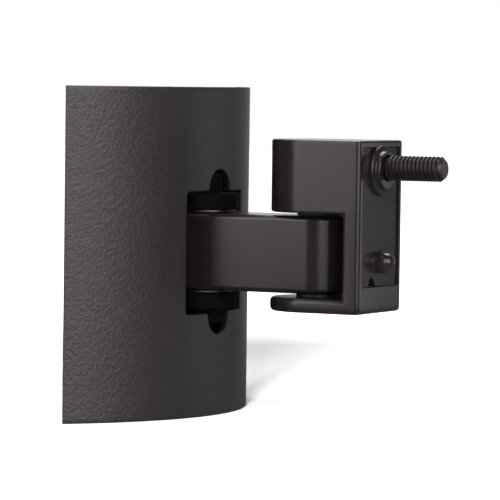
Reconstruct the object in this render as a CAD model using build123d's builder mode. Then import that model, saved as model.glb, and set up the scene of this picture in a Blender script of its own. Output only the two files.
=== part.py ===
"""Speaker wall bracket: a curved cover over a wall base, a swinging arm and a swivelling head.

Frame: millimetres, +Z up, +X to the right as seen from the room, room towards -Y.
The origin lies on the wall, in the middle of the cover's width and height.
"""
from build123d import *
import os
from math import sqrt

os.makedirs("parts", exist_ok=True)

# Cover: a thin shell bowed out from the wall
cover_width = 57.5
cover_height = 53.2
cover_depth = 12.3
cover_wall = 0.9
window_width = 18.4
window_corner = 0.6
window_drop = 0.23  # the window's middle lies this far below the hinges' middle
window_end_clearance = 0.5
rib_wall = 1.2
rib_height = 34.0
rib_wall_gap = 0.3

# Wall base: a cast plate with two lugs
base_side_margin = 10.75
base_end_margin = 3.5
base_thickness = 2.5
base_corner = 3.0
lug_thickness = 2.6
wall_screw_spacing = 34.0
wall_screw_hole = 4.5
wall_screw_head = 7.6

# Arm: a straight link with half-round ends
arm_reach = 20.95
arm_width = 10.5
arm_height = 12.4
arm_edge_round = 0.8
hinge_middle = 0.13
wall_hinge_reach = 9.5

# Hinges
hinge_screw = 3.0
hinge_head = 5.5
hinge_head_height = 3.0
hinge_key = 2.5
hinge_key_depth = 1.3
hinge_nut_width = 5.5
hinge_nut_height = 2.4
hinge_thread_past_nut = 1.0
bush_wall = 0.75
wall_washer = 9.8
wall_washer_thickness = 0.5
head_spacer = 7.4
head_spacer_thickness = 0.5
lobe_clearance = 0.75
running_gap = 0.05
seat_gap = 0.02

# Head: a block with a deep slot for the arm, flat towards the speaker
head_width = 15.7
head_front_reach = 10.73
head_top_height = 11.62
head_web = 3.22
head_lip = 2.28
head_edge_round = 0.7
slot_rim_round = 0.5
slot_corner_round = 0.4
countersink_head = 5.6
countersink_key = 2.0
countersink_key_depth = 1.0
head_thread_depth = 2.9
head_thread_end_gap = 0.4

# Recess, boss and insert on the speaker side
rim_width = 1.15
recess_top_rim = 1.0
recess_depth = 1.2
lower_bar = 4.2
insert_gap = 0.08
insert_below_rim = 0.5
insert_peg = 1.8
insert_peg_length = 0.8
insert_peg_spacing = 9.0
notch_bottom_width = 2.85
notch_top_width = 1.2
notch_height = 1.4
notch_offset = 2.3  # the notch lies this far to the left of the pin
boss_wall = 0.75
boss_proud = 1.2
boss_step = 0.95
boss_step_proud = 0.4
boss_chamfer = 0.25
boss_drop = 4.72  # the boss's middle lies this far below the head's top
screw_rise = 0.4  # the speaker screw's axis lies this far above the boss's middle

# Speaker screw and what keeps it in
speaker_screw = 4.0
speaker_screw_length = 16.0
speaker_screw_proud = 11.0
speaker_screw_neck = 3.3
speaker_screw_head = 6.4
speaker_screw_head_height = 4.0
speaker_key = 3.0
speaker_key_depth = 2.0
speaker_tip_chamfer = 0.5
turning_clearance = 0.3
retainer_thickness = 1.5
retainer_opening = 4.0
retainer_play = 0.5

# Locating pin
pin_drop = 0.93  # the pin lies this far below the hinges' middle
pin_base = 3.6
pin_tip_radius = 1.15
pin_proud = 3.0

# Worked out from the sizes above
cover_radius = ((cover_width / 2) ** 2 + cover_depth**2) / (2 * cover_depth)
cover_axis_y = cover_radius - cover_depth
cover_inner_radius = cover_radius - cover_wall
base_width = cover_width - 2 * base_side_margin
base_height = cover_height - 2 * base_end_margin
screw_radius = hinge_screw / 2
end_radius = arm_width / 2
head_radius = head_width / 2
wall_hinge_y = -wall_hinge_reach
head_hinge_y = wall_hinge_y - arm_reach
arm_bottom = hinge_middle - arm_height / 2
arm_top = hinge_middle + arm_height / 2
lug_gap = wall_washer_thickness + running_gap
upper_lug_bottom = arm_top + lug_gap
upper_lug_top = upper_lug_bottom + lug_thickness
lower_lug_top = arm_bottom - lug_gap
lower_lug_bottom = lower_lug_top - lug_thickness
window_height = upper_lug_top - lower_lug_bottom + 2 * window_end_clearance
window_middle = hinge_middle - window_drop
lobe_radius = hinge_head / 2 + lobe_clearance
slot_top = arm_top + head_spacer_thickness + running_gap
slot_bottom = arm_bottom - head_spacer_thickness - running_gap
head_top = slot_top + head_top_height
head_bottom = slot_bottom - head_lip
head_front_y = head_hinge_y - head_front_reach
web_inner_y = head_front_y + head_web
recess_floor_y = head_front_y + recess_depth
recess_top = head_top - recess_top_rim
recess_bottom = head_bottom + lower_bar
recess_width = head_width - 2 * rim_width
boss_z = head_top - boss_drop
speaker_axis_z = boss_z + screw_rise
boss_radius = speaker_screw / 2 + turning_clearance + boss_wall
boss_step_radius = boss_radius + boss_step
screw_tip_y = head_front_y - speaker_screw_proud
screw_head_front_y = screw_tip_y + speaker_screw_length
shoulder_y = screw_head_front_y - running_gap
speaker_thread_length = speaker_screw_proud - boss_proud - running_gap
bush_radius = screw_radius + running_gap + bush_wall
pin_z = hinge_middle - pin_drop

# Cover: an arc of shell cut off at the wall, with a lobed window and two ribs that grip the base
with BuildPart() as cover_plate:
    with BuildSketch(Plane.XY.offset(-cover_height / 2)):
        with Locations((0, cover_axis_y)):
            Circle(cover_radius)
            Circle(cover_inner_radius, mode=Mode.SUBTRACT)
        with Locations((0, -cover_radius)):
            Rectangle(2 * cover_radius, 2 * cover_radius, mode=Mode.INTERSECT)
    extrude(amount=cover_height)
    with BuildSketch(Plane.XY.offset(-rib_height / 2)):
        rib_x = base_width / 2 + insert_gap + rib_wall / 2
        with Locations((rib_x, -rib_wall_gap - cover_depth / 2), (-rib_x, -rib_wall_gap - cover_depth / 2)):
            Rectangle(rib_wall, cover_depth)
        with Locations((0, cover_axis_y)):
            Circle(cover_radius - cover_wall / 2, mode=Mode.INTERSECT)
    extrude(amount=rib_height)
    with BuildSketch(Plane.XZ):
        with Locations((0, window_middle)):
            RectangleRounded(window_width, window_height, window_corner)
        lobe_offset = window_height / 2
        with Locations((0, window_middle + lobe_offset), (0, window_middle - lobe_offset)):
            Circle(lobe_radius)
    extrude(amount=2 * cover_depth, mode=Mode.SUBTRACT)

# Wall base: the plate against the wall, and two lugs that hold the arm's hinge screw
with BuildPart() as wall_base:
    with BuildSketch(Plane.XZ):
        RectangleRounded(base_width, base_height, base_corner)
    extrude(amount=base_thickness)
    for lug_bottom in (lower_lug_bottom, upper_lug_bottom):
        with BuildSketch(Plane.XY.offset(lug_bottom)):
            with Locations((0, wall_hinge_y / 2)):
                Rectangle(arm_width, wall_hinge_reach)
            with Locations((0, wall_hinge_y)):
                Circle(end_radius)
        extrude(amount=lug_thickness)
    with BuildSketch(Plane.XY.offset(lower_lug_bottom)):
        with Locations((0, wall_hinge_y)):
            Circle(screw_radius + seat_gap)
    extrude(amount=upper_lug_top - lower_lug_bottom, mode=Mode.SUBTRACT)
    with Locations(Plane.XZ.offset(base_thickness)):
        with GridLocations(0, wall_screw_spacing, 1, 2):
            CounterSinkHole(
                wall_screw_hole / 2, wall_screw_head / 2, depth=base_thickness, counter_sink_angle=90
            )

# Wall hinge screw: a cap screw down through both lugs
wall_screw_end = lower_lug_bottom - hinge_nut_height - hinge_thread_past_nut
with BuildPart() as wall_hinge_screw:
    with BuildSketch(Plane.XY.offset(wall_screw_end)):
        with Locations((0, wall_hinge_y)):
            Circle(screw_radius)
    extrude(amount=upper_lug_top - wall_screw_end)
    with BuildSketch(Plane.XY.offset(upper_lug_top)):
        with Locations((0, wall_hinge_y)):
            Circle(hinge_head / 2)
    extrude(amount=hinge_head_height)
    chamfer(wall_hinge_screw.faces().sort_by(Axis.Z)[-1].edges(), length=boss_chamfer)
    with BuildSketch(Plane.XY.offset(upper_lug_top + hinge_head_height)):
        with Locations((0, wall_hinge_y)):
            RegularPolygon(hinge_key / 2, 6, major_radius=False)
    extrude(amount=-hinge_key_depth, mode=Mode.SUBTRACT)

# Nut under the lower lug
with BuildPart() as wall_hinge_nut:
    with BuildSketch(Plane.XY.offset(lower_lug_bottom)):
        with Locations((0, wall_hinge_y)):
            RegularPolygon(hinge_nut_width / 2, 6, major_radius=False, rotation=30)
            Circle(screw_radius + seat_gap, mode=Mode.SUBTRACT)
    extrude(amount=-hinge_nut_height)

# Steel washers between the arm and the lugs
with BuildPart() as wall_washer_upper:
    with BuildSketch(Plane.XY.offset(upper_lug_bottom)):
        with Locations((0, wall_hinge_y)):
            Circle(wall_washer / 2)
            Circle(screw_radius + seat_gap, mode=Mode.SUBTRACT)
    extrude(amount=-wall_washer_thickness)

with BuildPart() as wall_washer_lower:
    with BuildSketch(Plane.XY.offset(lower_lug_top)):
        with Locations((0, wall_hinge_y)):
            Circle(wall_washer / 2)
            Circle(screw_radius + seat_gap, mode=Mode.SUBTRACT)
    extrude(amount=wall_washer_thickness)

# Arm: one casting, bored at both ends for its bushes
with BuildPart() as arm_body:
    with BuildSketch(Plane.XY.offset(arm_bottom)):
        with Locations((0, (wall_hinge_y + head_hinge_y) / 2)):
            SlotCenterToCenter(arm_reach, arm_width, rotation=90)
    extrude(amount=arm_height)
    fillet(arm_body.faces().filter_by(Axis.Z).edges(), radius=arm_edge_round)
    with BuildSketch(Plane.XY.offset(arm_bottom)):
        with Locations((0, wall_hinge_y), (0, head_hinge_y)):
            Circle(bush_radius)
    extrude(amount=arm_height, mode=Mode.SUBTRACT)

# Nylon bushes pressed into the arm
with BuildPart() as arm_bush_wall:
    with BuildSketch(Plane.XY.offset(arm_bottom)):
        with Locations((0, wall_hinge_y)):
            Circle(bush_radius)
            Circle(screw_radius + running_gap, mode=Mode.SUBTRACT)
    extrude(amount=arm_height)

with BuildPart() as arm_bush_head:
    with BuildSketch(Plane.XY.offset(arm_bottom)):
        with Locations((0, head_hinge_y)):
            Circle(bush_radius)
            Circle(screw_radius + running_gap, mode=Mode.SUBTRACT)
    extrude(amount=arm_height)

# Head: the block, its slot, the recess towards the speaker and the boss round the speaker screw
with BuildPart() as head_body:
    with BuildSketch(Plane.XY.offset(head_bottom)):
        with Locations((0, head_hinge_y)):
            Circle(head_radius)
        with Locations((0, head_hinge_y - head_front_reach / 2)):
            Rectangle(head_width, head_front_reach)
    extrude(amount=head_top - head_bottom)
    fillet(head_body.edges(), radius=head_edge_round)
    with BuildSketch(Plane.XY.offset(slot_bottom)):
        with Locations((0, web_inner_y + head_width)):
            Rectangle(2 * head_width, 2 * head_width)
    extrude(amount=slot_top - slot_bottom, mode=Mode.SUBTRACT)
    slot_corners = head_body.edges().filter_by(Axis.X).filter_by(
        lambda edge: abs(edge.center().Y - web_inner_y) < seat_gap
    )
    fillet(slot_corners, radius=slot_corner_round)
    slot_rims = head_body.edges().filter_by(
        lambda edge: min(abs(edge.center().Z - slot_top), abs(edge.center().Z - slot_bottom)) < seat_gap
    )
    fillet(slot_rims, radius=slot_rim_round)
    with BuildSketch(Plane.XZ.offset(-recess_floor_y)):
        with Locations((0, (recess_top + recess_bottom) / 2)):
            Rectangle(recess_width, recess_top - recess_bottom)
    extrude(amount=recess_depth, mode=Mode.SUBTRACT)
    with BuildSketch(Plane.XZ.offset(-recess_floor_y)):
        with Locations((0, boss_z)):
            Circle(boss_step_radius)
    extrude(amount=recess_depth + boss_step_proud)
    chamfer(head_body.faces().sort_by(Axis.Y)[0].edges(), length=boss_chamfer)
    with BuildSketch(Plane.XZ.offset(-head_front_y)):
        with Locations((0, boss_z)):
            Circle(boss_radius)
    extrude(amount=boss_proud)
    chamfer(head_body.faces().sort_by(Axis.Y)[0].edges(), length=boss_chamfer)
    with BuildSketch(Plane.XZ.offset(boss_proud - head_front_y)):
        with Locations((0, speaker_axis_z)):
            Circle(speaker_screw / 2 + turning_clearance)
    extrude(amount=-(head_front_reach + boss_proud), mode=Mode.SUBTRACT)
    with BuildSketch(Plane.XZ.offset(-shoulder_y)):
        with Locations((0, speaker_axis_z)):
            Circle(speaker_screw_head / 2 + turning_clearance)
    extrude(amount=-(head_width + head_front_reach), mode=Mode.SUBTRACT)
    with BuildSketch(Plane.XY.offset(head_bottom)):
        with Locations((0, head_hinge_y)):
            Circle(screw_radius + seat_gap)
    extrude(amount=slot_top + head_thread_depth - head_bottom, mode=Mode.SUBTRACT)
    countersink_depth = (countersink_head - hinge_screw) / 2
    with BuildSketch(Plane.XY.offset(head_bottom)):
        with Locations((0, head_hinge_y)):
            Circle(countersink_head / 2 + seat_gap)
    extrude(amount=countersink_depth, taper=45, mode=Mode.SUBTRACT)
    with BuildSketch(Plane.XZ.offset(-recess_floor_y)):
        with Locations((0, pin_z)):
            with GridLocations(insert_peg_spacing, 0, 2, 1):
                Circle(insert_peg / 2 + seat_gap)
    extrude(amount=-insert_peg_length - insert_gap, mode=Mode.SUBTRACT)

# Head hinge screw: a countersunk screw up through the lip and the arm into the block
head_screw_end = slot_top + head_thread_depth - head_thread_end_gap
with BuildPart() as head_hinge_screw:
    with BuildSketch(Plane.XY.offset(head_bottom)):
        with Locations((0, head_hinge_y)):
            Circle(screw_radius)
    extrude(amount=head_screw_end - head_bottom)
    with BuildSketch(Plane.XY.offset(head_bottom)):
        with Locations((0, head_hinge_y)):
            Circle(countersink_head / 2)
    extrude(amount=countersink_depth, taper=45)
    with BuildSketch(Plane.XY.offset(head_bottom)):
        with Locations((0, head_hinge_y)):
            RegularPolygon(countersink_key / 2, 6, major_radius=False)
    extrude(amount=countersink_key_depth, mode=Mode.SUBTRACT)

# Spacer washers between the arm and the head
with BuildPart() as head_spacer_upper:
    with BuildSketch(Plane.XY.offset(slot_top)):
        with Locations((0, head_hinge_y)):
            Circle(head_spacer / 2)
            Circle(screw_radius + seat_gap, mode=Mode.SUBTRACT)
    extrude(amount=-head_spacer_thickness)

with BuildPart() as head_spacer_lower:
    with BuildSketch(Plane.XY.offset(slot_bottom)):
        with Locations((0, head_hinge_y)):
            Circle(head_spacer / 2)
            Circle(screw_radius + seat_gap, mode=Mode.SUBTRACT)
    extrude(amount=head_spacer_thickness)

# Locating insert: a moulded panel that fills the recess round the boss, with its pin, two pegs and
# a notch to lift it by
insert_bottom = recess_bottom + insert_gap
insert_top = recess_top - insert_gap
insert_width = recess_width - 2 * insert_gap
insert_thickness = recess_depth - insert_below_rim
insert_face_y = recess_floor_y - insert_thickness
with BuildPart() as locating_insert:
    with BuildSketch(Plane.XZ.offset(-recess_floor_y)):
        with Locations((0, (insert_bottom + insert_top) / 2)):
            Rectangle(insert_width, insert_top - insert_bottom)
        with Locations((0, boss_z)):
            Circle(boss_step_radius + insert_gap, mode=Mode.SUBTRACT)
        with BuildLine():
            Polyline(
                (-notch_offset - notch_bottom_width / 2, insert_bottom),
                (-notch_offset + notch_bottom_width / 2, insert_bottom),
                (-notch_offset + notch_top_width / 2, insert_bottom + notch_height),
                (-notch_offset - notch_top_width / 2, insert_bottom + notch_height),
                close=True,
            )
        make_face(mode=Mode.SUBTRACT)
    extrude(amount=insert_thickness)
    with BuildSketch(Plane.YZ):
        with BuildLine():
            tip_y = insert_face_y - pin_proud
            ball_y = tip_y + pin_tip_radius
            Line((insert_face_y, pin_z), (insert_face_y, pin_z + pin_base / 2))
            Line((insert_face_y, pin_z + pin_base / 2), (ball_y, pin_z + pin_tip_radius))
            RadiusArc((ball_y, pin_z + pin_tip_radius), (tip_y, pin_z), -pin_tip_radius)
            Line((tip_y, pin_z), (insert_face_y, pin_z))
        make_face()
    revolve(axis=Axis((0, 0, pin_z), (0, 1, 0)))
    with BuildSketch(Plane.XZ.offset(-recess_floor_y)):
        with Locations((0, pin_z)):
            with GridLocations(insert_peg_spacing, 0, 2, 1):
                Circle(insert_peg / 2)
    extrude(amount=-insert_peg_length)

# Speaker screw: a captive screw with a thin neck behind its thread, turned through the retainer
with BuildPart() as speaker_screw_body:
    with BuildSketch(Plane.XZ.offset(-screw_head_front_y)):
        with Locations((0, speaker_axis_z)):
            Circle(speaker_screw_neck / 2)
    extrude(amount=speaker_screw_length - speaker_thread_length)
    with BuildSketch(Plane.XZ.offset(-screw_tip_y - speaker_thread_length)):
        with Locations((0, speaker_axis_z)):
            Circle(speaker_screw / 2)
    extrude(amount=speaker_thread_length)
    chamfer(speaker_screw_body.faces().sort_by(Axis.Y)[0].edges(), length=speaker_tip_chamfer)
    with BuildSketch(Plane.XZ.offset(-screw_head_front_y)):
        with Locations((0, speaker_axis_z)):
            Circle(speaker_screw_head / 2)
    extrude(amount=-speaker_screw_head_height)
    with BuildSketch(Plane.XZ.offset(-screw_head_front_y - speaker_screw_head_height)):
        with Locations((0, speaker_axis_z)):
            RegularPolygon(speaker_key / 2, 6, major_radius=False)
    extrude(amount=speaker_key_depth, mode=Mode.SUBTRACT)

# Retainer: a ring pressed in behind the speaker screw's head
retainer_front_y = screw_head_front_y + speaker_screw_head_height + retainer_play
with BuildPart() as screw_retainer:
    with BuildSketch(Plane.XZ.offset(-retainer_front_y)):
        with Locations((0, speaker_axis_z)):
            Circle(speaker_screw_head / 2 + turning_clearance)
            Circle(retainer_opening / 2, mode=Mode.SUBTRACT)
    extrude(amount=-retainer_thickness)

cover_plate.part.label = "cover_plate"
wall_base.part.label = "wall_base"
wall_hinge_screw.part.label = "wall_hinge_screw"
wall_hinge_nut.part.label = "wall_hinge_nut"
wall_washer_upper.part.label = "wall_washer_upper"
wall_washer_lower.part.label = "wall_washer_lower"
arm_body.part.label = "arm_body"
arm_bush_wall.part.label = "arm_bush_wall"
arm_bush_head.part.label = "arm_bush_head"
head_body.part.label = "head_body"
head_hinge_screw.part.label = "head_hinge_screw"
head_spacer_upper.part.label = "head_spacer_upper"
head_spacer_lower.part.label = "head_spacer_lower"
locating_insert.part.label = "locating_insert"
speaker_screw_body.part.label = "speaker_screw"
screw_retainer.part.label = "screw_retainer"

export_step(cover_plate.part, "parts/cover_plate.step")
export_step(wall_base.part, "parts/wall_base.step")
export_step(wall_hinge_screw.part, "parts/wall_hinge_screw.step")
export_step(wall_hinge_nut.part, "parts/wall_hinge_nut.step")
export_step(wall_washer_upper.part, "parts/wall_washer_upper.step")
export_step(wall_washer_lower.part, "parts/wall_washer_lower.step")
export_step(arm_body.part, "parts/arm_body.step")
export_step(arm_bush_wall.part, "parts/arm_bush_wall.step")
export_step(arm_bush_head.part, "parts/arm_bush_head.step")
export_step(head_body.part, "parts/head_body.step")
export_step(head_hinge_screw.part, "parts/head_hinge_screw.step")
export_step(head_spacer_upper.part, "parts/head_spacer_upper.step")
export_step(head_spacer_lower.part, "parts/head_spacer_lower.step")
export_step(locating_insert.part, "parts/locating_insert.step")
export_step(speaker_screw_body.part, "parts/speaker_screw.step")
export_step(screw_retainer.part, "parts/screw_retainer.step")
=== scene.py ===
# %% [markdown]
# # A small wall bracket for a speaker
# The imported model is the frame: every piece made here keeps the place and size that the frame gives
# it. The working unit in this script is the millimetre, and a mesh is turned to metres as it is made.

# %% Load the frame
import bmesh
import bpy
import numpy as np
from mathutils import Matrix, Vector


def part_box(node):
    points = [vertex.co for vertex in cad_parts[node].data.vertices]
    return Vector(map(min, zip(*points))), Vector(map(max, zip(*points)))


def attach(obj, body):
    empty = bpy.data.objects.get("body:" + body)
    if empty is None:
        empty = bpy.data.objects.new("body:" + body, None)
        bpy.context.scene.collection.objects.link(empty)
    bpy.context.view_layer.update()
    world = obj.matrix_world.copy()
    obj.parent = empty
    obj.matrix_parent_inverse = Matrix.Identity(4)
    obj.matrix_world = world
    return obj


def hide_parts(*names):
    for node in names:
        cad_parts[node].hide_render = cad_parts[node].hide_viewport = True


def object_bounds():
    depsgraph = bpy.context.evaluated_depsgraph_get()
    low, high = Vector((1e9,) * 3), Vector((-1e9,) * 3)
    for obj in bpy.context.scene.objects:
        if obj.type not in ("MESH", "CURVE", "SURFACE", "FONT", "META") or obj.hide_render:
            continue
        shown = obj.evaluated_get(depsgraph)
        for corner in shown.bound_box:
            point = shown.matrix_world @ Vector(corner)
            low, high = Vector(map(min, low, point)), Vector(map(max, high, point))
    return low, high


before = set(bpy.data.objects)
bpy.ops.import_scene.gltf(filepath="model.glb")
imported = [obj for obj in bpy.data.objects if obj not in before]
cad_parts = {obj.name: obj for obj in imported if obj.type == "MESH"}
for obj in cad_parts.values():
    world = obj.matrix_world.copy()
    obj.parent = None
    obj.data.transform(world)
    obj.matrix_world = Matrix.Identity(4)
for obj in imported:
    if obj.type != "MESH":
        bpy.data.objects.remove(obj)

MM = 0.001
cad_box = [list(corner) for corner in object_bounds()]
print("CAD box in mm:", np.round(np.array(cad_box) / MM, 1).tolist())


def box_mm(node):
    """Lowest and highest corner of a node, in millimetres."""
    low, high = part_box(node)
    return np.array(low) / MM, np.array(high) / MM


# %% [markdown]
# ## The camera
# The bracket was photographed from its left with a very long lens, so it is nearly without
# perspective. A camera can be placed by rotation angles, or by two points and a roll. Two points are
# used here, because they can be read off in millimetres: where the camera stands and what it aims at.

# %% Place the camera
camera_place = np.array([-522.3, -292.6, 27.9])
camera_aim = np.array([-2.71, -19.26, 0.52])
camera_roll = np.radians(0.77)
camera_lens = 263.4


def unit(vector):
    """A vector divided by its length."""
    return vector / np.linalg.norm(vector)


forward = unit(camera_aim - camera_place)
level = unit(np.cross(forward, [0, 0, 1]))
upright = np.cross(level, forward)
camera_right = np.cos(camera_roll) * level + np.sin(camera_roll) * upright
camera_up = np.cos(camera_roll) * upright - np.sin(camera_roll) * level
camera = bpy.data.objects.new("camera", bpy.data.cameras.new("camera"))
camera.matrix_world = Matrix.Translation(Vector(camera_place * MM)) @ Matrix(
    np.column_stack([camera_right, camera_up, -forward]).tolist()
).to_4x4()
camera.data.lens = camera_lens
camera.data.clip_end = 10
bpy.context.scene.collection.objects.link(camera)
bpy.context.scene.camera = camera
bpy.context.scene.view_settings.view_transform = "Standard"
print("camera is", round(float(np.linalg.norm(camera_aim - camera_place))), "mm away")

# %% [markdown]
# ## Floor, background and lamps
# The photo is a studio shot on white. A white background must not light the object, or black paint
# turns grey. So the floor and the world are white for rays that come straight from the camera. Glossy
# rays find them white only far behind the object, and for all other rays they stay dim.


# %% Nodes and colours
def linear(hex_colour):
    """An sRGB hex colour as linear RGBA: each channel undoes the sRGB curve."""
    srgb = np.array([int(hex_colour[i : i + 2], 16) for i in (1, 3, 5)]) / 255
    low = srgb / 12.92
    high = ((srgb + 0.055) / 1.055) ** 2.4
    return (*np.where(srgb <= 0.04045, low, high), 1.0)


def add_node(tree, kind, settings=None, **inputs):
    """Adds one node: settings are its own properties; an input is a value or another node's socket."""
    node = tree.nodes.new(kind)
    for name, value in (settings or {}).items():
        setattr(node, name, value)
    for name, value in inputs.items():
        key = int(name[1:]) if name[0] == "_" and name[1:].isdigit() else name.replace("_", " ")
        if isinstance(value, bpy.types.NodeSocket):
            tree.links.new(value, node.inputs[key])
        else:
            node.inputs[key].default_value = value
    return node


print("mid grey in linear light:", round(float(linear("#808080")[0]), 3))

# %% [markdown]
# ## The floor
# The floor lies just below the model. Its paint catches shadows. A glow on top of the paint lifts it to
# white, weakly where the shadow falls and fully further away, so that no horizon shows.

# %% Make the floor
# The backdrop is found by the cosine of the angle from the way the camera looks: it begins at
# backdrop_edge and is fully lit at backdrop_full.
room_light = 0.20
room_mirror = 0.16
backdrop_edge = 0.88
backdrop_full = 1.0
floor_gap = 0.05
floor_size = 4000.0
floor_glow = 0.06
floor_paint = 0.9
shadow_reach, plain_reach = 150.0, 240.0

floor_z = cad_box[0][2] / MM - floor_gap
corners = np.array([[-1, -1], [1, -1], [1, 1], [-1, 1]]) * floor_size / 2
floor_mesh = bpy.data.meshes.new("floor")
floor_mesh.from_pydata([(x * MM, y * MM, floor_z * MM) for x, y in corners], [], [(0, 1, 2, 3)])
floor = bpy.data.objects.new("floor", floor_mesh)
bpy.context.scene.collection.objects.link(floor)

toward_backdrop = unit(forward * [1, 1, 0])
print("floor at", round(floor_z, 2), "mm")

# %% The floor's paint and glow
floor_material = bpy.data.materials.new("white_paper")
floor_material.use_nodes = True
tree = floor_material.node_tree
tree.nodes.clear()
path = add_node(tree, "ShaderNodeLightPath")
straight = add_node(
    tree, "ShaderNodeMath", {"operation": "MAXIMUM"},
    _0=path.outputs["Is Camera Ray"], _1=path.outputs["Is Transmission Ray"],
)
paint = add_node(tree, "ShaderNodeBsdfDiffuse", Color=(floor_paint, floor_paint, floor_paint, 1))
place = add_node(tree, "ShaderNodeTexCoord")
away = add_node(tree, "ShaderNodeVectorMath", {"operation": "LENGTH"}, _0=place.outputs["Object"])
glow_strength = add_node(
    tree, "ShaderNodeMapRange", {"interpolation_type": "SMOOTHSTEP"},
    Value=away.outputs["Value"], From_Min=shadow_reach * MM, From_Max=plain_reach * MM,
    To_Min=floor_glow, To_Max=1.0,
)
glow = add_node(tree, "ShaderNodeEmission", Strength=glow_strength.outputs[0])
both = add_node(tree, "ShaderNodeAddShader", _0=paint.outputs[0], _1=glow.outputs[0])
print("the glow grows from", shadow_reach, "to", plain_reach, "mm away")

# %% What a glossy ray finds on the floor
heading = add_node(tree, "ShaderNodeVectorMath", {"operation": "NORMALIZE"}, _0=place.outputs["Object"])
facing = add_node(
    tree, "ShaderNodeVectorMath", {"operation": "DOT_PRODUCT"},
    _0=heading.outputs["Vector"], _1=tuple(toward_backdrop),
)
lit_paper = add_node(
    tree, "ShaderNodeMapRange", {"interpolation_type": "SMOOTHSTEP"},
    Value=facing.outputs["Value"], From_Min=backdrop_edge, From_Max=backdrop_full,
    To_Min=room_mirror, To_Max=1.0,
)
mirrored_strength = add_node(
    tree, "ShaderNodeMath", {"operation": "MULTIPLY"},
    _0=lit_paper.outputs[0], _1=path.outputs["Is Glossy Ray"],
)
mirrored = add_node(tree, "ShaderNodeEmission", Strength=mirrored_strength.outputs[0])
shadowed = add_node(
    tree, "ShaderNodeMixShader", _0=path.outputs["Is Glossy Ray"], _1=paint.outputs[0],
    _2=mirrored.outputs[0],
)
shown = add_node(
    tree, "ShaderNodeMixShader", _0=straight.outputs[0], _1=shadowed.outputs[0], _2=both.outputs[0]
)
add_node(tree, "ShaderNodeOutputMaterial", Surface=shown.outputs[0])
floor_mesh.materials.append(floor_material)
print(floor_material.name, len(tree.nodes), "nodes")

# %% [markdown]
# ## The world
# The world's light reaches what no lamp does. One plain white would serve a bright object, but black
# paint would mirror it and turn grey. So each kind of ray finds its own strength here.

# %% World
world = bpy.context.scene.world or bpy.data.worlds.new("world")
bpy.context.scene.world = world
world.use_nodes = True
tree = world.node_tree
tree.nodes.clear()
path = add_node(tree, "ShaderNodeLightPath")
direction = add_node(tree, "ShaderNodeTexCoord")
facing = add_node(
    tree, "ShaderNodeVectorMath", {"operation": "DOT_PRODUCT"},
    _0=direction.outputs["Generated"], _1=tuple(toward_backdrop),
)
backdrop = add_node(
    tree, "ShaderNodeMapRange", {"interpolation_type": "SMOOTHSTEP"},
    Value=facing.outputs["Value"], From_Min=backdrop_edge, From_Max=backdrop_full,
    To_Min=room_mirror, To_Max=1.0,
)
mirrored = add_node(
    tree, "ShaderNodeMix", {"data_type": "FLOAT"},
    _0=path.outputs["Is Glossy Ray"], _2=room_light, _3=backdrop.outputs[0],
)
straight = add_node(
    tree, "ShaderNodeMath", {"operation": "MAXIMUM"},
    _0=path.outputs["Is Camera Ray"], _1=path.outputs["Is Transmission Ray"],
)
strength = add_node(
    tree, "ShaderNodeMix", {"data_type": "FLOAT"},
    _0=straight.outputs[0], _2=mirrored.outputs[0], _3=1.0,
)
light = add_node(tree, "ShaderNodeBackground", Color=(1, 1, 1, 1), Strength=strength.outputs[0])
add_node(tree, "ShaderNodeOutputWorld", Surface=light.outputs[0])
print("world", len(tree.nodes), "nodes")

# %% [markdown]
# ## Lamps
# Black satin paint shows little of its own colour. What one sees are mirror images of the lamps, so
# each lamp stands where the face that should carry its image looks. A face turned by an angle from
# the camera mirrors what lies at twice that angle: the arm's side faces 28 degrees to the left and
# mirrors the side strip, the arm's round end mirrors the front strip, and the cover's left half
# mirrors the large box. The small card stands there for the locating insert.


# %% Lamp helper
def soft_lamp(name, turn, lift, width, height, brightness, distance=1000.0):
    """An area lamp facing the object: turn is degrees to the right of the camera, lift above level.

    Its power is brightness * pi * area, so that brightness is what a perfect mirror would show.
    """
    heading = np.arctan2(-forward[1], -forward[0]) + np.radians(turn)
    rise = np.radians(lift)
    toward = np.array([np.cos(heading) * np.cos(rise), np.sin(heading) * np.cos(rise), np.sin(rise)])
    data = bpy.data.lights.new(name, "AREA")
    data.shape = "RECTANGLE"
    data.size = width * MM
    data.size_y = height * MM
    data.energy = brightness * np.pi * (width * MM) * (height * MM)
    lamp = bpy.data.objects.new(name, data)
    lamp.location = (camera_aim + toward * distance) * MM
    lamp.rotation_euler = Vector(toward).to_track_quat("Z", "Y").to_euler()
    lamp.visible_camera = False
    bpy.context.scene.collection.objects.link(lamp)
    return lamp


print("brightness 1 on a square of 100 mm takes", round(np.pi * (100 * MM) ** 2, 4), "W")

# %% Place the lamps
soft_lamp("side_strip", turn=-58.5, lift=12, width=280, height=1000, brightness=3.9)
soft_lamp("front_strip", turn=5, lift=14, width=340, height=1000, brightness=3.2)
soft_lamp("front_right_box", turn=35, lift=14, width=560, height=900, brightness=4.6)
soft_lamp("near_card", turn=113.3, lift=-1, width=36, height=70, brightness=2.2, distance=220)
soft_lamp("top_box", turn=-60, lift=60, width=600, height=600, brightness=1.6)
print("lamps on the object:", len(bpy.data.lights))

# %% [markdown]
# Two lamps use light linking. The paper lamp lights only the floor, and only the cover shades it:
# that is the soft shadow beside the cover's foot. The rear lamp shows the back to someone who walks
# round the object, and leaves the floor alone.

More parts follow.
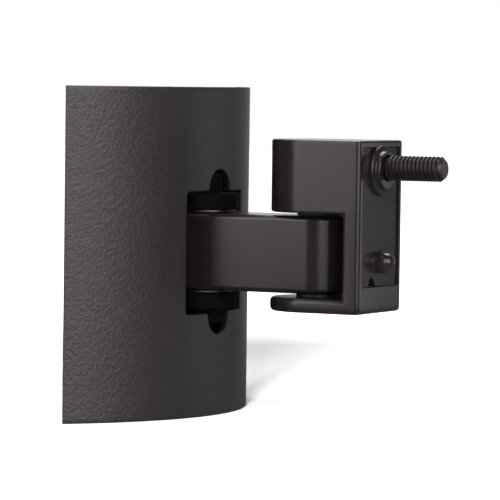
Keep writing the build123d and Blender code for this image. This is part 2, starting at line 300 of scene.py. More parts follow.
# %% Lamps with light linking
paper_lamp = soft_lamp("paper_lamp", turn=-5, lift=14, width=120, height=200, brightness=360)
rear_lamp = soft_lamp("rear_lamp", turn=172, lift=60, width=800, height=800, brightness=5.0)
paper_only = bpy.data.collections.new("paper_only")
paper_only.objects.link(floor)
paper_lamp.light_linking.receiver_collection = paper_only
cover_only = bpy.data.collections.new("cover_only")
paper_lamp.light_linking.blocker_collection = cover_only
all_but_paper = bpy.data.collections.new("all_but_paper")
all_but_paper.objects.link(floor)
all_but_paper.collection_objects[0].light_linking.link_state = "EXCLUDE"
rear_lamp.light_linking.receiver_collection = all_but_paper

# %% [markdown]
# ## Finishes
# Everything one sees is black or nearly so, but each surface is black in its own way. The cover has
# a textured coat. The arm and the head are zinc castings in smooth satin paint. The wall base and the
# steel of the wall hinge are dull black, darkened further as painted shade for the window, the other
# screws are steel in black oxide, the wall washers are zinc plated, the insert is a glossy moulding,
# and the bushes and spacers are nylon. Each grain has its width and its depth in millimetres, and a
# bump node tilts the surface by it.


# %% Material helper
# The highlights on every black surface in the photo are faintly warm.
warm_sheen = (1.0, 0.91, 0.94, 1.0)


def new_material(name, colour, roughness, metallic=0.0, ior=None, gloss=0.5):
    """A Principled material with constant values on its own sockets."""
    material = bpy.data.materials.new(name)
    material.use_nodes = True
    tree = material.node_tree
    shader = tree.nodes["Principled BSDF"]
    shader.inputs["Base Color"].default_value = linear(colour)
    shader.inputs["Roughness"].default_value = roughness
    shader.inputs["Metallic"].default_value = metallic
    if ior is not None:
        shader.inputs["IOR"].default_value = ior
        shader.inputs["Specular IOR Level"].default_value = gloss
        shader.inputs["Specular Tint"].default_value = warm_sheen
    return material, tree, shader


def per_metre(size_mm):
    """The scale that makes one feature of a noise about this many millimetres wide."""
    return 1.0 / (size_mm * MM)


print("a grain of 0.5 mm has the scale", per_metre(0.5))

# %% Textured powder coat, on the cover
# The powder shrinks into small wrinkles as it is baked. They break every mirror image into grain.
powder_coat, tree, shader = new_material("textured_powder_coat", "#1d191a", 0.43, ior=1.5, gloss=0.7)
wrinkle_size = 0.62
grit_size = 0.28
grit_share = 0.55
grain_depth = 0.095
place = add_node(tree, "ShaderNodeTexCoord")
wrinkles = add_node(
    tree, "ShaderNodeTexVoronoi", {"feature": "SMOOTH_F1"},
    Vector=place.outputs["Object"], Scale=per_metre(wrinkle_size), Smoothness=0.6, Randomness=1.0,
)
grit = add_node(
    tree, "ShaderNodeTexNoise", Vector=place.outputs["Object"], Scale=per_metre(grit_size),
    Detail=3.0, Roughness=0.6,
)
grain = add_node(
    tree, "ShaderNodeMix", {"data_type": "FLOAT"},
    _0=grit_share, _2=wrinkles.outputs["Distance"], _3=grit.outputs[0],
)
bump = add_node(tree, "ShaderNodeBump", Height=grain.outputs[0], Distance=grain_depth * MM)
tree.links.new(bump.outputs["Normal"], shader.inputs["Normal"])
print(powder_coat.name, len(tree.nodes), "nodes")

# %% Satin paint, on the castings
# Sprayed paint flows out nearly flat. A faint orange peel softens the edges of the lamps' images.
peel_size, peel_depth = 0.5, 0.004
satin_paint, tree, shader = new_material("satin_paint", "#1a1617", 0.24, ior=1.5)
place = add_node(tree, "ShaderNodeTexCoord")
peel = add_node(
    tree, "ShaderNodeTexNoise", Vector=place.outputs["Object"], Scale=per_metre(peel_size), Detail=2.0
)
bump = add_node(tree, "ShaderNodeBump", Height=peel.outputs[0], Distance=peel_depth * MM)
tree.links.new(bump.outputs["Normal"], shader.inputs["Normal"])
print(satin_paint.name, len(tree.nodes), "nodes")

# %% Black phosphate with painted shade, on the wall base and the steel that holds the wall hinge
# A phosphate coat is a felt of tiny crystals that swallows light. Real crystals are finer than a
# pixel here, so they are drawn coarser. The coat is black, and its colour and its faint gloss are set
# darker still as painted shade for the lugs seen inside the cover's window.
crystal_size, crystal_depth = 0.15, 0.004
phosphate_and_painted_shade, tree, shader = new_material("black_phosphate_and_painted_shade", "#070506", 0.8, ior=1.4, gloss=0.1)
place = add_node(tree, "ShaderNodeTexCoord")
crystals = add_node(
    tree, "ShaderNodeTexNoise", Vector=place.outputs["Object"], Scale=per_metre(crystal_size), Detail=2.0
)
bump = add_node(tree, "ShaderNodeBump", Height=crystals.outputs[0], Distance=crystal_depth * MM)
tree.links.new(bump.outputs["Normal"], shader.inputs["Normal"])
print(phosphate_and_painted_shade.name, len(tree.nodes), "nodes")

# %% Moulded plastic, on the locating insert
# A polished mould leaves a gloss, and shrinking as it cools leaves a faint wave in it.
wave_size, wave_depth = 0.4, 0.004
moulded_plastic, tree, shader = new_material("moulded_plastic", "#1f1b1c", 0.12, ior=1.49)
place = add_node(tree, "ShaderNodeTexCoord")
wave = add_node(
    tree, "ShaderNodeTexNoise", Vector=place.outputs["Object"], Scale=per_metre(wave_size), Detail=2.0
)
bump = add_node(tree, "ShaderNodeBump", Height=wave.outputs[0], Distance=wave_depth * MM)
tree.links.new(bump.outputs["Normal"], shader.inputs["Normal"])
print(moulded_plastic.name, len(tree.nodes), "nodes")

# %% Black oxide steel, on the speaker screw and the head's hinge screw
# The oxide darkens the steel and keeps its shine, duller where it is thicker. The etch is drawn
# coarser than the real one, which is finer than a pixel here.
etch_size, etch_depth = 0.2, 0.004
shiny, dull = 0.30, 0.48
black_oxide, tree, shader = new_material("black_oxide_steel", "#3c3636", shiny, metallic=0.8)
place = add_node(tree, "ShaderNodeTexCoord")
etch = add_node(
    tree, "ShaderNodeTexNoise", Vector=place.outputs["Object"], Scale=per_metre(etch_size), Detail=3.0
)
rough = add_node(tree, "ShaderNodeMapRange", Value=etch.outputs[0], To_Min=shiny, To_Max=dull)
tree.links.new(rough.outputs[0], shader.inputs["Roughness"])
bump = add_node(tree, "ShaderNodeBump", Height=etch.outputs[0], Distance=etch_depth * MM)
tree.links.new(bump.outputs["Normal"], shader.inputs["Normal"])
print(black_oxide.name, len(tree.nodes), "nodes")

# %% Zinc plated steel, on the wall washers
# Thin zinc on a stamped washer is a soft grey metal: it gives the glints in the window.
stamp_size, stamp_depth = 0.25, 0.003
zinc_plate, tree, shader = new_material("zinc_plated_steel", "#4d4a48", 0.38, metallic=1.0)
place = add_node(tree, "ShaderNodeTexCoord")
stamp = add_node(
    tree, "ShaderNodeTexNoise", Vector=place.outputs["Object"], Scale=per_metre(stamp_size), Detail=2.0
)
bump = add_node(tree, "ShaderNodeBump", Height=stamp.outputs[0], Distance=stamp_depth * MM)
tree.links.new(bump.outputs["Normal"], shader.inputs["Normal"])
print(zinc_plate.name, len(tree.nodes), "nodes")

# %% Nylon, on the bushes, the spacers and the retainer
# Nylon is turned from rod and looks dull and slightly waxy.
flow_size, flow_depth = 0.6, 0.004
nylon, tree, shader = new_material("black_nylon", "#242223", 0.45, ior=1.53)
place = add_node(tree, "ShaderNodeTexCoord")
flow = add_node(
    tree, "ShaderNodeTexNoise", Vector=place.outputs["Object"], Scale=per_metre(flow_size), Detail=2.0
)
bump = add_node(tree, "ShaderNodeBump", Height=flow.outputs[0], Distance=flow_depth * MM)
tree.links.new(bump.outputs["Normal"], shader.inputs["Normal"])
print(nylon.name, len(tree.nodes), "nodes")

# %% [markdown]
# ## Surfaces from grids
# Every new piece starts as a grid of points: one parameter runs along a profile, the other around or
# along the piece. Whole arrays of points are worked out at once, and one function joins the rows.


# %% Grid to mesh
merge_reach = 0.002 * MM
bevel_steps = 3


def grid_faces(rows, columns, close_rows, close_columns):
    """Four-sided faces between neighbours on a grid; a closed direction joins its end to its start."""
    r = np.arange(rows if close_rows else rows - 1)
    c = np.arange(columns if close_columns else columns - 1)
    row, column = np.meshgrid(r, c, indexing="ij")
    next_row, next_column = (row + 1) % rows, (column + 1) % columns
    corners = [row * columns + column, row * columns + next_column]
    corners += [next_row * columns + next_column, next_row * columns + column]
    return np.stack(corners, axis=-1).reshape(-1, 4)


def make_piece(name, points, faces, ends=()):
    """A mesh object at the origin from points in mm. Doubles are merged and faces turned outwards."""
    mesh = bpy.data.meshes.new(name)
    loops = [face.tolist() for face in faces] + [list(end) for end in ends]
    mesh.from_pydata((points.reshape(-1, 3) * MM).tolist(), [], loops)
    work = bmesh.new()
    work.from_mesh(mesh)
    bmesh.ops.remove_doubles(work, verts=work.verts, dist=merge_reach)
    bmesh.ops.dissolve_degenerate(work, edges=work.edges, dist=merge_reach)
    bmesh.ops.recalc_face_normals(work, faces=work.faces)
    work.to_mesh(mesh)
    work.free()
    piece = bpy.data.objects.new(name, mesh)
    bpy.context.scene.collection.objects.link(piece)
    return piece


def finish_piece(piece, material, slot, body, *nodes, bevel=0.0, sharp=42.0):
    """Rounds cut edges, smooths the shading, ties the piece to its body and hides its CAD nodes."""
    piece.data.polygons.foreach_set("use_smooth", np.ones(len(piece.data.polygons), bool))
    piece.data.materials.clear()
    piece.data.materials.append(material)
    if bevel:
        rounding = piece.modifiers.new("cut edges", "BEVEL")
        rounding.width = bevel * MM
        rounding.segments = bevel_steps
        rounding.limit_method = "ANGLE"
        rounding.angle_limit = np.radians(sharp)
    else:
        piece.data.set_sharp_from_angle(angle=np.radians(sharp))
    weighting = piece.modifiers.new("flat faces first", "WEIGHTED_NORMAL")
    weighting.keep_sharp = True
    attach(piece, body)
    if nodes:
        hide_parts(*nodes)
    print(piece.name, len(piece.data.polygons), "faces")


print("a grid of 4 by 6 points closed both ways has", len(grid_faces(4, 6, True, True)), "faces")

# %% [markdown]
# ## The cover
# The real cover is one thin sheet, bowed and stamped with a window that has a lobe above and below.
# It could be a plane with a hole, bent by a modifier, but the hole's edge would be ragged. Here the
# sheet is a ring round the window: one parameter is the direction seen from the window's middle, the
# other runs over the front, round the outer edge, over the back and round the window's edge.

# %% Cover sizes
cover_low, cover_high = box_mm("cover_plate")
cover_half = cover_high[0]
cover_end = cover_high[2]
cover_depth = -cover_low[1]
cover_wall = 0.9
cover_radius = (cover_half**2 + cover_depth**2) / (2 * cover_depth)
cover_axis = cover_radius - cover_depth
window_half = 9.2
window_corner = 0.6
lobe_radius = 3.5
lobe_top_middle = 9.75
lobe_bottom_middle = -9.95
edge_round = 0.22
print("cover radius", round(cover_radius, 2))


# %% Distances seen from the window's middle
tiny = 1e-9


def far_side_of_circle(direction, middle, radius):
    """Distance along each direction to the far side of a circle, or 0 where the direction misses it."""
    along = direction @ middle
    under = radius**2 - middle @ middle + along**2
    return np.where(under > 0, along + np.sqrt(np.maximum(under, 0)), 0.0)


def side_of_box(direction, half_width, half_height):
    """Distance along each direction to the side of a box round the middle."""
    across = half_width / np.maximum(np.abs(direction[:, 0]), tiny)
    upward = half_height / np.maximum(np.abs(direction[:, 1]), tiny)
    return np.minimum(across, upward)


slanted = np.array([[1.0, 1.0]]) / np.sqrt(2)
print("to the corner of a box 2 wide and high:", side_of_box(slanted, 1.0, 1.0).round(3).tolist())

# %% Directions that meet every corner
# A corner is sharp only where a direction runs through it, so the corners' own angles are added.
window_middle = (lobe_top_middle + lobe_bottom_middle) / 2
window_rise = (lobe_top_middle - lobe_bottom_middle) / 2
corner_angles = [
    np.arctan2(sz * z, sx * x)
    for x, z in ((cover_half, cover_end - window_middle), (cover_half, cover_end + window_middle))
    for sx in (-1, 1)
    for sz in (-1, 1)
]
lobe_start = np.arctan2(window_rise, lobe_radius)
lobe_angles = [lobe_start, np.pi - lobe_start, -lobe_start, lobe_start - np.pi]
turn_steps = 640
angles = np.union1d(
    np.linspace(-np.pi, np.pi, turn_steps + 1)[:-1], np.array(corner_angles + lobe_angles)
)
direction = np.column_stack([np.cos(angles), np.sin(angles)])
print(len(angles), "directions")

# %% The window's edge and the cover's edge
inner = side_of_box(direction, window_half, window_rise - window_corner)
inner = np.maximum(inner, side_of_box(direction, window_half - window_corner, window_rise))
for side in (-1, 1):
    for end in (-1, 1):
        corner = np.array([side * (window_half - window_corner), end * (window_rise - window_corner)])
        inner = np.maximum(inner, far_side_of_circle(direction, corner, window_corner))
for end in (-1, 1):
    lobe = far_side_of_circle(direction, np.array([0.0, end * window_rise]), lobe_radius)
    inner = np.maximum(inner, lobe)
up = direction[:, 1] > 0
outer_rise = np.where(up, cover_end - window_middle, cover_end + window_middle)
outer = np.minimum(
    cover_half / np.maximum(np.abs(direction[:, 0]), tiny),
    outer_rise / np.maximum(np.abs(direction[:, 1]), tiny),
)
print("the window's edge lies", round(inner.min(), 2), "to", round(inner.max(), 2), "mm from its middle")

# %% Front, outer edge, back and window edge as one closed section
front_rows, back_rows = 34, 20
crowding = 1.1
spread = np.linspace(0, 1, front_rows) ** crowding
quarter = np.linspace(0, np.pi / 2, 5)[1:]
reach = np.concatenate([
    inner[None] + edge_round + spread[:, None] * (outer - inner - 2 * edge_round)[None],
    outer[None] - edge_round * (1 - np.sin(quarter))[:, None],
    inner[None] + np.linspace(1, 0, back_rows)[:, None] * (outer - inner)[None],
    inner[None] + edge_round * (1 - np.sin(quarter[::-1]))[:, None],
])
sink = np.concatenate([
    np.zeros(front_rows),
    edge_round * (1 - np.cos(quarter)),
    np.full(back_rows, cover_wall),
    edge_round * (1 - np.cos(quarter[::-1])),
])[:, None] + np.zeros_like(reach)
across = reach * direction[:, 0][None]
height = reach * direction[:, 1][None] + window_middle
front = cover_axis - np.sqrt(cover_radius**2 - across**2)
back_radius = cover_radius - cover_wall
back = cover_axis - np.sqrt(np.maximum(back_radius**2 - across**2, 0))
outward = np.minimum(front + (back - front) * sink / cover_wall, 0.0)
points = np.stack([across, outward, height], axis=-1)
cover = make_piece(
    "cover_shell", points, grid_faces(points.shape[0], points.shape[1], True, True)
)
finish_piece(cover, powder_coat, "cover_plastic", "wall_side", "cover_plate", sharp=40)
cover_only.objects.link(cover)

# %% [markdown]
# ## Rounded blocks
# The castings are blocks with rounded rims. A block is an outline carried along an axis: a quarter
# round at each end draws the outline in, and a flat face closes it. Holes, slots and recesses are
# then cut with the Boolean modifier, which is what a mill would do, and a Bevel takes off the edges
# that the cut leaves sharp.


# %% Outlines
# A cut starts this far outside the surface, and joined shapes reach this far into each other.
beyond = 1.0
root = 0.3
axis_order = {"X": (2, 0, 1), "Y": (0, 2, 1), "Z": (0, 1, 2)}


def arc(middle, radius, start, stop, steps):
    """Points on a circle from one angle in degrees to another."""
    turn = np.radians(np.linspace(start, stop, steps))
    return np.column_stack([middle[0] + radius * np.cos(turn), middle[1] + radius * np.sin(turn)])


def rounded_box(low, high, radius, steps=5):
    """A box from its low corner to its high corner with a quarter circle at each corner."""
    (x0, y0), (x1, y1) = low, high
    return np.concatenate([
        arc((x1 - radius, y1 - radius), radius, 0, 90, steps),
        arc((x0 + radius, y1 - radius), radius, 90, 180, steps),
        arc((x0 + radius, y0 + radius), radius, 180, 270, steps),
        arc((x1 - radius, y0 + radius), radius, 270, 360, steps),
    ])


def block(name, outline, axis, start, stop, rim=0.0):
    """The outline, seen along an axis, carried from start to stop with its rims rounded.

    As turn goes from 0 to a right angle, the outline rises by rim * (1 - cos turn) and lies
    rim * (1 - sin turn) inside its full size, along each point's own normal.
    """
    ahead = np.roll(outline, -1, axis=0) - outline
    ahead /= np.linalg.norm(ahead, axis=1, keepdims=True)
    normal = np.column_stack([ahead[:, 1], -ahead[:, 0]])
    normal = normal + np.roll(normal, 1, axis=0)
    normal /= np.maximum(1 + np.sum(ahead * np.roll(ahead, 1, axis=0), axis=1, keepdims=True), 0.2)
    turn = np.linspace(0, np.pi / 2, 6) if rim else np.array([np.pi / 2])
    inset = rim * (1 - np.sin(turn))
    rise = rim * (1 - np.cos(turn))
    inset = np.concatenate([inset, inset[::-1]])
    along = np.concatenate([start + rise, (stop - rise)[::-1]])
    flat = outline[None] - inset[:, None, None] * normal[None]
    along = np.broadcast_to(along[:, None], flat.shape[:2])
    points = np.stack([flat[..., 0], flat[..., 1], along], axis=-1)[..., axis_order[axis]]
    rows, columns = flat.shape[:2]
    ends = (range(columns), range((rows - 1) * columns, rows * columns))
    return make_piece(name, points, grid_faces(rows, columns, False, True), ends)


def combine(piece, tool, operation):
    """Cuts the tool out of the piece, or joins it on, and removes the tool."""
    modifier = piece.modifiers.new("combine", "BOOLEAN")
    modifier.object = tool
    modifier.operation = operation
    modifier.solver = "EXACT"
    with bpy.context.temp_override(object=piece, active_object=piece):
        bpy.ops.object.modifier_apply(modifier=modifier.name)
    bpy.data.objects.remove(tool)
    return piece


print("a quarter circle in 3 points:", arc((0, 0), 1.0, 0, 90, 3).round(3).tolist())

# %% [markdown]
# ## Turned pieces
# Screws, washers, bushes and the locating pin are turned. A turned surface is a list of rings, each
# with a radius and a height. The radius may differ from angle to angle, and so the same function
# makes a hexagon: its radius is the half width over the cosine of the angle from a face's middle.


# %% Turning
# A socket's floor closes on a ring this small, and not on one point.
pole = 0.02
ring_steps = 96
ring_angles = np.arange(ring_steps) * 2 * np.pi / ring_steps


def hexagon(half_width):
    """Radius at every ring angle of a hexagon with this half width across its flats."""
    from_face = (ring_angles + np.pi / 6) % (np.pi / 3) - np.pi / 6
    return half_width / np.cos(from_face)


def ring_points(rings):
    """Points of rings of (radius, height): radius * cos, radius * sin and height at every ring angle."""
    radius = np.array([np.broadcast_to(ring[0], ring_steps) for ring in rings], float)
    along = np.array([np.broadcast_to(ring[1], ring_steps) for ring in rings], float)
    return np.stack([radius * np.cos(ring_angles), radius * np.sin(ring_angles), along], axis=-1)


def turned(name, rings, middle, axis, hollow=False):
    """Rings of (radius, height) round an axis through middle. A hollow piece closes on its first ring."""
    points = ring_points(rings)[..., axis_order[axis]] + np.asarray(middle, float)
    rows = len(rings)
    ends = () if hollow else (range(ring_steps), range((rows - 1) * ring_steps, rows * ring_steps))
    return make_piece(name, points, grid_faces(rows, ring_steps, hollow, True), ends)


def washer_rings(inner_radius, outer_radius, low, high, rim):
    """A flat ring with its four rims taken off by a small chamfer."""
    return [
        (inner_radius, low + rim), (inner_radius + rim, low),
        (outer_radius - rim, low), (outer_radius, low + rim),
        (outer_radius, high - rim), (outer_radius - rim, high),
        (inner_radius + rim, high), (inner_radius, high - rim),
    ]


print("a hexagon's corner lies", hexagon(1.0).max().round(3), "half widths from its middle")

# %% [markdown]
# ## The arm
# A straight link with half-round ends, cast in zinc and painted. Its outline is two half circles,
# and the bores take the bushes.

# %% Make the arm
arm_low, arm_high = box_mm("arm_body")
arm_half = arm_high[0]
arm_rim = 0.8
bore_radius = 2.3
wall_hinge = (0.0, arm_high[1] - arm_half)
head_hinge = (0.0, arm_low[1] + arm_half)
arm_outline = np.concatenate([
    arc(wall_hinge, arm_half, 0, 180, 65), arc(head_hinge, arm_half, 180, 360, 65)
])
arm = block("arm_link", arm_outline, "Z", arm_low[2], arm_high[2], arm_rim)
for hinge in (wall_hinge, head_hinge):
    circle = arc(hinge, bore_radius, 0, 360, 65)[:-1]
    bore = block("bore", circle, "Z", arm_low[2] - beyond, arm_high[2] + beyond)
    combine(arm, bore, "DIFFERENCE")
finish_piece(arm, satin_paint, "satin_casting", "arm", "arm_body", sharp=50)

# %% [markdown]
# ## The head
# One casting: a block with a half-round back, a deep slot for the arm, a recess towards the speaker
# and a stepped boss round the speaker screw.

# %% Head sizes
head_low, head_high = box_mm("head_body")
head_half = head_high[0]
head_rim = 0.7
top_rim = 0.4
boss_proud = 1.2
front_y = head_low[1] + boss_proud
slot_low, slot_high = -6.62, 6.88
web_back = front_y + 3.05
rim_width = 1.15
recess_depth = 1.2
recess_corner = 0.25
lower_bar, recess_top_rim = 4.2, 1.0
boss_drop, screw_rise = 4.72, 0.4
screw_hole, screw_head_hole = 2.13, 3.5
shoulder_y = front_y + 4.95
hinge_hole, sink_radius, hinge_bore_top = 1.52, 2.82, 10.0
recess_low, recess_high = head_low[2] + lower_bar, head_high[2] - recess_top_rim
boss_z = head_high[2] - boss_drop
screw_z = boss_z + screw_rise
print("the slot is", slot_high - slot_low, "mm high and the screw lies at", round(screw_z, 2))

# %% Upper block, lip and web
head_outline = np.concatenate([
    arc(head_hinge, head_half, 0, 180, 65),
    arc((-head_half + head_rim, front_y + head_rim), head_rim, 180, 270, 6),
    arc((head_half - head_rim, front_y + head_rim), head_rim, 270, 360, 6),
])
head = block("head_block", head_outline, "Z", slot_high, head_high[2], top_rim)
combine(head, block("lip", head_outline, "Z", head_low[2], slot_low, head_rim), "UNION")
web_outline = rounded_box((-head_half, front_y), (head_half, web_back), head_rim, 6)
overlap = head_rim + 0.1
web = block("web", web_outline, "Z", slot_low - overlap, slot_high + overlap)
combine(head, web, "UNION")
print("head block, lip and web:", len(head.data.polygons), "faces")

# %% Recess and stepped boss
# Each edge of the boss is rounded through one point between its ends, a little off the corner.
recess_outline = rounded_box(
    (-head_half + rim_width, recess_low), (head_half - rim_width, recess_high), recess_corner
)
recess = block("recess", recess_outline, "Y", front_y - beyond, front_y + recess_depth)
combine(head, recess, "DIFFERENCE")
step_radius, step_y, step_edge, step_off = 4.0, front_y - 0.4, 0.28, 0.08
boss_radius, boss_y, boss_edge, boss_off = 3.05, front_y - boss_proud, 0.25, 0.07
boss_foot = 0.1
boss_steps = [
    (step_radius, front_y + recess_depth + root), (step_radius, step_y + step_edge),
    (step_radius - step_off, step_y + step_off), (step_radius - step_edge, step_y),
    (boss_radius + boss_foot, step_y), (boss_radius, step_y - boss_foot),
    (boss_radius, boss_y + boss_edge), (boss_radius - boss_off, boss_y + boss_off),
    (boss_radius - boss_edge, boss_y),
]
combine(head, turned("boss", boss_steps, (0, 0, boss_z), "Y"), "UNION")
print("with its recess and boss:", len(head.data.polygons), "faces")

# %% Ways for the two screws
# The speaker screw's way runs out past the boss in front and past the round back.
way_front, way_back = front_y - 3, front_y + 30
screw_way = [
    (screw_hole, way_front), (screw_hole, shoulder_y),
    (screw_head_hole, shoulder_y), (screw_head_hole, way_back),
]
combine(head, turned("screw_way", screw_way, (0, 0, screw_z), "Y"), "DIFFERENCE")
hinge_way = [
    (sink_radius + beyond, head_low[2] - beyond), (sink_radius, head_low[2]),
    (hinge_hole, head_low[2] + sink_radius - hinge_hole), (hinge_hole, hinge_bore_top),
]
combine(head, turned("hinge_way", hinge_way, (*head_hinge, 0), "Z"), "DIFFERENCE")
finish_piece(head, satin_paint, "satin_casting", "head", "head_body", bevel=0.14, sharp=50)

# %% [markdown]
# ## The locating insert
# A moulded panel that snaps into the recess. A round-nosed pin stands on it and a small notch in its
# lower edge lets a blade lift it out. The pin's outline is a superellipse: its radius is
# base * sqrt(1 - share ** fullness), and share runs from 0 at the panel to nearly 1 at the tip, in
# steps that grow smaller towards the tip.

# %% Insert panel
insert_low, insert_high = box_mm("locating_insert")
insert_gap = 0.08
insert_face = front_y + 0.35
pin_z = -0.8
notch_x = -2.3
notch_foot, notch_top, notch_height = 1.425, 0.6, 1.4
notch = [(-notch_foot, 0), (-notch_top, notch_height), (notch_top, notch_height), (notch_foot, 0)]
insert_outline = np.array(
    [(insert_high[0], insert_high[2]), (insert_low[0], insert_high[2]), (insert_low[0], insert_low[2])]
    + [(notch_x + x, insert_low[2] + z) for x, z in notch]
    + [(insert_high[0], insert_low[2])]
)
insert = block("insert_panel", insert_outline, "Y", insert_face, front_y + recess_depth)
boss_room = arc((0, boss_z), step_radius + insert_gap, 0, 360, 97)[:-1]
boss_cut = block("boss_room", boss_room, "Y", insert_face - beyond, front_y + recess_depth + beyond)
combine(insert, boss_cut, "DIFFERENCE")
print("panel:", len(insert.data.polygons), "faces")

# %% Locating pin
pin_base, pin_fullness = 1.8, 2.4
pin_rows, pin_end, pin_crowding = 22, 0.995, 1.6
pin_length = insert_face - insert_low[1]
share = 1 - (1 - np.linspace(0, pin_end, pin_rows)) ** pin_crowding
pin_rings = [(pin_base, insert_face + root)]
pin_rings += [
    (pin_base * np.sqrt(1 - s**pin_fullness), insert_face - pin_length * s) for s in share
]
combine(insert, turned("pin", pin_rings, (0, 0, pin_z), "Y"), "UNION")
finish_piece(insert, moulded_plastic, "insert_plastic", "head", "locating_insert", bevel=0.1, sharp=50)

# %% [markdown]
# ## Threads
# A thread is a ridge that climbs one pitch a turn. Its grid runs round the screw and along the
# ridge, so the ridge's corners lie on grid lines. Height is pitch * (row + angle / full turn), and
# the last column of one turn is the first column of the next. Heights outside the thread are pulled
# to its ends, and the doubles merge.


# %% Thread rings
ridge_share = 0.55


def thread_points(radius, pitch, length, start_radius, tip_radius):
    """Points of a thread from height 0 to length: a trapezoid ridge, cut at 45 degrees at both ends.

    Each point lies at pitch * (row's phase + angle / full turn), and its radius is the full radius
    less the depth where the ridge is 0.
    """
    shape = np.array([(0.0, 1.0), (0.08, 1.0), (0.40, 0.0), (0.60, 0.0), (0.92, 1.0)])
    turns = int(np.ceil(length / pitch)) + 2
    phase = (np.arange(-1, turns)[:, None] + shape[:, 0][None]).ravel()
    ridge = np.tile(shape[:, 1], turns + 1)
    depth = ridge_share * pitch
    share = np.arange(ring_steps + 1) / ring_steps
    height = np.clip(pitch * (phase[:, None] + share[None]), 0, length)
    size = np.minimum(radius - depth * (1 - ridge[:, None]), start_radius + height)
    size = np.minimum(size, tip_radius + (length - height))
    turn = 2 * np.pi * share
    return np.stack([size * np.cos(turn), size * np.sin(turn), height], axis=-1)


def threaded(name, radius, pitch, length, rings, tip_radius, middle, axis, sign):
    """A screw: rings from its head to height 0, where the thread starts, the thread, and a flat tip.

    Heights are multiplied by sign, and the screw then lies along the axis through middle.
    """
    thread = thread_points(radius, pitch, length, rings[-1][0], tip_radius)
    body = ring_points(rings).reshape(-1, 3)
    tip = ring_points([(tip_radius, length)])[0]
    thread_faces = grid_faces(*thread.shape[:2], False, False) + len(body)
    faces = np.concatenate([grid_faces(len(rings), ring_steps, False, True), thread_faces])
    points = np.concatenate([body, thread.reshape(-1, 3), tip]) * [1, 1, sign]
    ends = (range(ring_steps), range(len(points) - ring_steps, len(points)))
    return make_piece(name, points[:, axis_order[axis]] + np.asarray(middle, float), faces, ends)


def cap_screw_rings(shank_radius, shank_length, head_radius, head_height, key_half, key_floor, edge):
    """A cap screw's rings: the hexagon socket from its floor, the head with a chamfer, the shank."""
    top = -shank_length - head_height
    floor_height = -shank_length - key_floor
    return [
        (pole, floor_height), (hexagon(key_half), floor_height), (hexagon(key_half), top),
        (head_radius - edge, top), (head_radius, top + edge), (head_radius, -shank_length),
        (shank_radius, -shank_length), (shank_radius, 0.0),
    ]


print("rows and points round a thread of 2 turns:", thread_points(2.0, 0.7, 1.4, 1.6, 1.5).shape[:2])

# %% [markdown]
# ## The speaker screw
# An M4 screw that turns freely in the boss. A hexagon key reaches its head from behind.

# %% Make the speaker screw
m4_radius, m4_pitch, m4_tip = 2.0, 0.7, 1.45
thread_length = 9.75
thread_start = box_mm("speaker_screw")[0][1] + thread_length
screw_rings = cap_screw_rings(
    shank_radius=1.65, shank_length=6.25, head_radius=3.2, head_height=4.0,
    key_half=1.5, key_floor=2.0, edge=0.2,
)
speaker_screw = threaded(
    "speaker_screw_m4", m4_radius, m4_pitch, thread_length, screw_rings, m4_tip,
    (0, thread_start, screw_z), "Y", -1,
)
finish_piece(speaker_screw, black_oxide, "black_screw", "speaker_fixing", "speaker_screw", sharp=28)

# %% [markdown]
# ## The hinges
# Screws, washers, spacers and bushes, all turned. They are small and partly hidden, but bright
# washers show as glints in the window, and the spacers close the gaps between arm and head.

# %% Wall hinge screw
# It is turned over by sign -1 along Z, which mirrors it: its thread runs left-handed, unlike a real
# one. It is hidden behind the cover.
m3_radius, m3_pitch, m3_tip = 1.5, 0.5, 1.1
lug_top, lug_bottom = 9.48, -9.22
wall_thread = 4.5
wall_thread_start = box_mm("wall_hinge_screw")[0][2] + wall_thread
wall_screw_rings = cap_screw_rings(
    shank_radius=m3_radius, shank_length=lug_top - wall_thread_start, head_radius=2.75,
    head_height=3.0, key_half=1.25, key_floor=1.7, edge=0.25,
)
wall_screw = threaded(
    "wall_hinge_screw_m3", m3_radius, m3_pitch, wall_thread, wall_screw_rings, m3_tip,
    (*wall_hinge, wall_thread_start), "Z", -1,
)
finish_piece(wall_screw, phosphate_and_painted_shade, "black_screw", "wall_side", "wall_hinge_screw", sharp=28)

# %% Wall hinge nut
# A round limit cuts the hexagon's corners near both faces. The rings are rolled by 8 steps of 3.75
# degrees, so that the hexagon is turned by 30 degrees.
nut_low, nut_high = box_mm("wall_hinge_nut")
nut_half = (nut_high[0] - nut_low[0]) / 2
nut_heights = np.array([0.0, 0.3, 1.2, 2.1, 2.4])
nut_limit = nut_half + np.array([0.0, 0.5, 1.0, 0.5, 0.0])
nut_rings = [(hinge_hole, nut_low[2])]
nut_rings += [
    (np.roll(np.minimum(hexagon(nut_half), limit), ring_steps // 12), nut_low[2] + h)
    for h, limit in zip(nut_heights, nut_limit)
]
nut_rings += [(hinge_hole, nut_high[2])]
nut = turned("wall_hinge_nut_m3", nut_rings, (*wall_hinge, 0), "Z", hollow=True)
finish_piece(nut, phosphate_and_painted_shade, "black_screw", "wall_side", "wall_hinge_nut", sharp=28)

# %% Wall washers
washer_edge = 0.12


def flat_ring(node, hinge, bore, edge, material, slot, body):
    """A washer, spacer or bush as large as its node: a rectangle with cut corners turned round a hinge."""
    low, high = box_mm(node)
    rings = washer_rings(bore, (high[0] - low[0]) / 2, low[2], high[2], edge)
    ring = turned(node + "_turned", rings, (*hinge, 0), "Z", hollow=True)
    finish_piece(ring, material, slot, body, node, sharp=30)


for node in ("wall_washer_upper", "wall_washer_lower"):
    flat_ring(node, wall_hinge, hinge_hole, washer_edge, zinc_plate, "plated_washer", "wall_side")

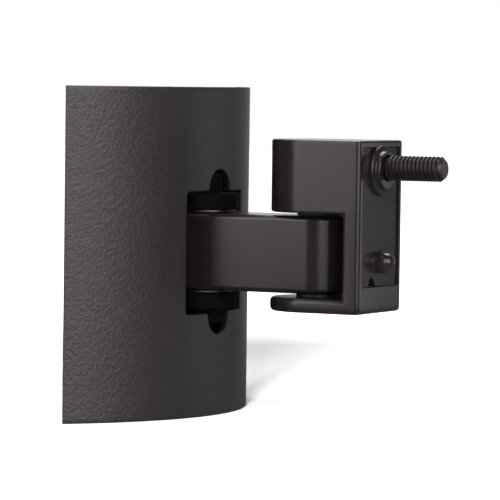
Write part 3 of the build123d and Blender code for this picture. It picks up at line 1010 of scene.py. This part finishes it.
# %% Head hinge screw
head_screw_low, head_screw_high = box_mm("head_hinge_screw")
head_thread = 4.0
sink_edge, sink_depth, sink_lip = 2.8, 1.3, 0.08
key_half, key_depth = 1.0, 1.0
screw_foot = head_screw_low[2] - head_screw_high[2] + head_thread
head_screw_rings = [
    (pole, screw_foot + key_depth), (hexagon(key_half), screw_foot + key_depth),
    (hexagon(key_half), screw_foot), (sink_edge - sink_lip, screw_foot),
    (sink_edge, screw_foot + sink_lip), (m3_radius, screw_foot + sink_depth), (m3_radius, 0.0),
]
head_screw = threaded(
    "head_hinge_screw_m3", m3_radius, m3_pitch, head_thread, head_screw_rings, m3_tip,
    (*head_hinge, head_screw_low[2] - screw_foot), "Z", 1,
)
finish_piece(head_screw, black_oxide, "black_screw", "head", "head_hinge_screw", sharp=28)

# %% Spacers and bushes
spacer_edge = 0.08
bush_bore, bush_edge = 1.55, 0.1
for node in ("head_spacer_upper", "head_spacer_lower"):
    flat_ring(node, head_hinge, hinge_hole, spacer_edge, nylon, "nylon", "head")
for node, hinge in (("arm_bush_wall", wall_hinge), ("arm_bush_head", head_hinge)):
    flat_ring(node, hinge, bush_bore, bush_edge, nylon, "nylon", "arm")

# %% Screw retainer
retainer_bore, retainer_edge = 2.0, 0.15
low, high = box_mm("screw_retainer")
rings = washer_rings(retainer_bore, (high[0] - low[0]) / 2, low[1], high[1], retainer_edge)
retainer = turned("screw_retainer_turned", rings, (0, 0, screw_z), "Y", hollow=True)
finish_piece(retainer, nylon, "nylon", "head", "screw_retainer", sharp=30)

# %% [markdown]
# ## The wall base
# A cast plate with two lugs that hold the arm's hinge. It hides behind the cover, but it is seen from
# behind and as the dark shape above and below the arm in the window, where its near-black finish is
# painted shade.

# %% Make the wall base
base_low, base_high = box_mm("wall_base")
base_thickness, base_corner = 2.5, 3.0
lug_height, lug_root, lug_bore_reach = 2.6, 0.6, 14.0
base_outline = rounded_box((base_low[0], base_low[2]), (base_high[0], base_high[2]), base_corner, 9)
base = block("base_plate", base_outline, "Y", -base_thickness, 0.0)
for low in (lug_bottom, lug_top - lug_height):
    lug_outline = np.concatenate([
        arc(wall_hinge, arm_half, 180, 360, 65),
        np.array([(arm_half, lug_root - base_thickness), (-arm_half, lug_root - base_thickness)]),
    ])
    combine(base, block("lug", lug_outline, "Z", low, low + lug_height), "UNION")
circle = arc(wall_hinge, hinge_hole, 0, 360, 49)[:-1]
combine(base, block("bore", circle, "Z", -lug_bore_reach, lug_bore_reach), "DIFFERENCE")
print("plate and lugs:", len(base.data.polygons), "faces")

# %% Wall screw holes
wall_hole, wall_sink, wall_hole_z = 2.25, 3.8, 17.0
hole = [
    (wall_hole, beyond), (wall_hole, -base_thickness + wall_sink - wall_hole),
    (wall_sink, -base_thickness), (wall_sink + beyond, -base_thickness - beyond),
]
for end in (-1, 1):
    combine(base, turned("hole", hole, (0, 0, end * wall_hole_z), "Y"), "DIFFERENCE")
# The base's near-black finish carries painted shade for the lugs seen in the window.
finish_piece(base, phosphate_and_painted_shade, "satin_casting", "wall_side", "wall_base", bevel=0.2, sharp=50)

# %% [markdown]
# ## Ribs behind the cover
# Two ribs on the back of the cover grip the sides of the wall base.

# %% Make the ribs
rib_wall = 1.2
rib_half_height = 17.0
rib_gap = 0.08
rib_foot = -0.3
rib_x = base_high[0] + rib_gap + rib_wall / 2
for side, name in ((-1, "cover_rib_left"), (1, "cover_rib_right")):
    x = np.array([side * rib_x - rib_wall / 2, side * rib_x + rib_wall / 2])
    deep = cover_axis - np.sqrt((cover_radius - cover_wall / 2) ** 2 - x**2)
    rib_outline = np.array([(x[0], deep[0]), (x[1], deep[1]), (x[1], rib_foot), (x[0], rib_foot)])
    rib = block(name, rib_outline, "Z", -rib_half_height, rib_half_height)
    finish_piece(rib, powder_coat, "cover_plastic", "wall_side", bevel=0.15, sharp=50)
